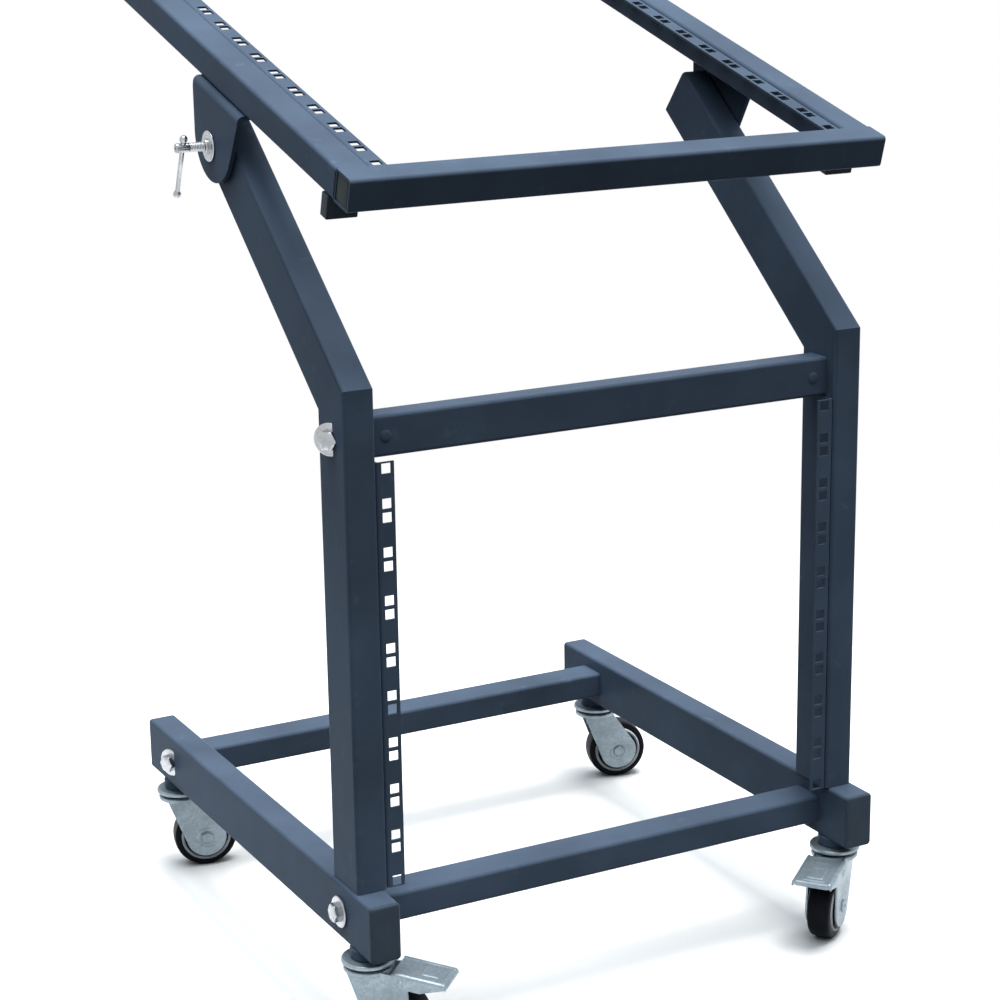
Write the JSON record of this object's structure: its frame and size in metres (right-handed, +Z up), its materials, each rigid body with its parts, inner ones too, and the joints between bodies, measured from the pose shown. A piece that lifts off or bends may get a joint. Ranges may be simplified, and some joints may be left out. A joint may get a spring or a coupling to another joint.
{
  "type": "equipment rack",
  "caption": "Rolling steel equipment rack: base on swivel castors, upright bay with square-hole strips, and a tilting top rack frame on bent-back arms with clamps",
  "frame": {"origin": "on the floor under the centre of the bounding box, as the castors stand in the picture", "axes": "+X to the right when facing the rack, +Y to the back, +Z up; the uprights face -Y"},
  "size_m": [0.6323, 0.6116, 0.9678],
  "materials": {
    "frame_paint": "dark blue-black satin powder coat",
    "zinc_plate": "bright zinc plating on steel",
    "cap_plastic": "fine matt black moulding",
    "stop_rubber": "matt black rubber",
    "wheel_plastic": "grey moulded plastic",
    "tyre": "black rubber tread"
  },
  "bodies": {
    "base_frame": {"front_cross_rail": "frame_paint", "rear_cross_rail": "frame_paint", "middle_cross_bar": "frame_paint", "left_side_rail": "frame_paint", "left_front_rail_cap": "cap_plastic", "left_rear_rail_cap": "cap_plastic", "left_upright": "frame_paint", "left_lower_rack_strip": "frame_paint", "left_front_rail_bolt": "zinc_plate", "left_rear_rail_bolt": "zinc_plate", "left_cross_bar_bolt": "zinc_plate", "right_side_rail": "frame_paint", "right_front_rail_cap": "cap_plastic", "right_rear_rail_cap": "cap_plastic", "right_upright": "frame_paint", "right_lower_rack_strip": "frame_paint", "right_front_rail_bolt": "zinc_plate", "right_rear_rail_bolt": "zinc_plate", "right_cross_bar_bolt": "zinc_plate", "left_front_castor_head": "zinc_plate", "left_rear_castor_head": "zinc_plate", "right_front_castor_head": "zinc_plate", "right_rear_castor_head": "zinc_plate"},
    "top_rack": {"rack_front_bar": "frame_paint", "rack_rear_bar": "frame_paint", "left_rack_side_tube": "frame_paint", "left_front_bar_plug": "cap_plastic", "left_rear_bar_plug": "cap_plastic", "left_upper_rack_strip": "frame_paint", "left_stop_block": "stop_rubber", "left_pivot_bracket": "frame_paint", "right_rack_side_tube": "frame_paint", "right_front_bar_plug": "cap_plastic", "right_rear_bar_plug": "cap_plastic", "right_upper_rack_strip": "frame_paint", "right_stop_block": "stop_rubber", "right_pivot_bracket": "frame_paint"},
    "left_clamp": {"left_clamp_screw": "zinc_plate"},
    "left_tommy": {"left_tommy_bar": "zinc_plate"},
    "right_clamp": {"right_clamp_screw": "zinc_plate"},
    "right_tommy": {"right_tommy_bar": "zinc_plate"},
    "left_front_swivel": {"left_front_castor_yoke": "zinc_plate", "left_front_castor_axle": "zinc_plate"},
    "left_front_wheel": {"left_front_wheel_core": "wheel_plastic", "left_front_tyre": "tyre"},
    "left_front_brake": {"left_front_brake_pedal": "zinc_plate"},
    "left_rear_swivel": {"left_rear_castor_yoke": "zinc_plate", "left_rear_castor_axle": "zinc_plate"},
    "left_rear_wheel": {"left_rear_wheel_core": "wheel_plastic", "left_rear_tyre": "tyre"},
    "right_front_swivel": {"right_front_castor_yoke": "zinc_plate", "right_front_castor_axle": "zinc_plate"},
    "right_front_wheel": {"right_front_wheel_core": "wheel_plastic", "right_front_tyre": "tyre"},
    "right_front_brake": {"right_front_brake_pedal": "zinc_plate"},
    "right_rear_swivel": {"right_rear_castor_yoke": "zinc_plate", "right_rear_castor_axle": "zinc_plate"},
    "right_rear_wheel": {"right_rear_wheel_core": "wheel_plastic", "right_rear_tyre": "tyre"}
  },
  "joints": [
    {"name": "top_rack_tilt", "type": "hinge", "parent": "base_frame", "child": "top_rack", "pos_m": [-0.00366, 0.02671, 0.8061], "axis": [1, 0, 0], "range_deg": [-15.9, 23.2]},
    {"name": "left_clamp_turn", "type": "hinge", "parent": "base_frame", "child": "left_clamp", "pos_m": [-0.29367, 0.02671, 0.8061], "axis": [-1, 0, 0], "range_deg": [0, 180]},
    {"name": "left_tommy_slide", "type": "slide", "parent": "left_clamp", "child": "left_tommy", "axis": [0, -0.4067, 0.9135], "range_m": [0, 0.039]},
    {"name": "right_clamp_turn", "type": "hinge", "parent": "base_frame", "child": "right_clamp", "pos_m": [0.28634, 0.02671, 0.8061], "axis": [1, 0, 0], "range_deg": [0, 180]},
    {"name": "right_tommy_slide", "type": "slide", "parent": "right_clamp", "child": "right_tommy", "axis": [0, -0.4067, 0.9135], "range_m": [0, 0.039]},
    {"name": "left_front_swivel_turn", "type": "hinge", "parent": "base_frame", "child": "left_front_swivel", "pos_m": [-0.26466, -0.23453, 0.0788], "axis": [0, 0, 1], "continuous": true},
    {"name": "left_front_wheel_turn", "type": "hinge", "parent": "left_front_swivel", "child": "left_front_wheel", "pos_m": [-0.24769, -0.2515, 0.034], "axis": [0.7071, 0.7071, 0], "continuous": true},
    {"name": "left_front_brake_press", "type": "hinge", "parent": "left_front_swivel", "child": "left_front_brake", "pos_m": [-0.2385, -0.26069, 0.0755], "axis": [0.7071, 0.7071, 0], "range_deg": [0, 7.5]},
    {"name": "left_rear_swivel_turn", "type": "hinge", "parent": "base_frame", "child": "left_rear_swivel", "pos_m": [-0.26466, 0.24647, 0.0788], "axis": [0, 0, 1], "continuous": true},
    {"name": "left_rear_wheel_turn", "type": "hinge", "parent": "left_rear_swivel", "child": "left_rear_wheel", "pos_m": [-0.24128, 0.24108, 0.034], "axis": [0.225, 0.9744, 0], "continuous": true},
    {"name": "right_front_swivel_turn", "type": "hinge", "parent": "base_frame", "child": "right_front_swivel", "pos_m": [0.25733, -0.23453, 0.0788], "axis": [0, 0, 1], "continuous": true},
    {"name": "right_front_wheel_turn", "type": "hinge", "parent": "right_front_swivel", "child": "right_front_wheel", "pos_m": [0.23842, -0.2493, 0.034], "axis": [0.6157, -0.788, 0], "continuous": true},
    {"name": "right_front_brake_press", "type": "hinge", "parent": "right_front_swivel", "child": "right_front_brake", "pos_m": [0.22818, -0.25731, 0.0755], "axis": [0.6157, -0.788, 0], "range_deg": [0, 7.5]},
    {"name": "right_rear_swivel_turn", "type": "hinge", "parent": "base_frame", "child": "right_rear_swivel", "pos_m": [0.25733, 0.24647, 0.0788], "axis": [0, 0, 1], "continuous": true},
    {"name": "right_rear_wheel_turn", "type": "hinge", "parent": "right_rear_swivel", "child": "right_rear_wheel", "pos_m": [0.28052, 0.24026, 0.034], "axis": [0.2588, 0.9659, 0], "continuous": true}
  ]
}
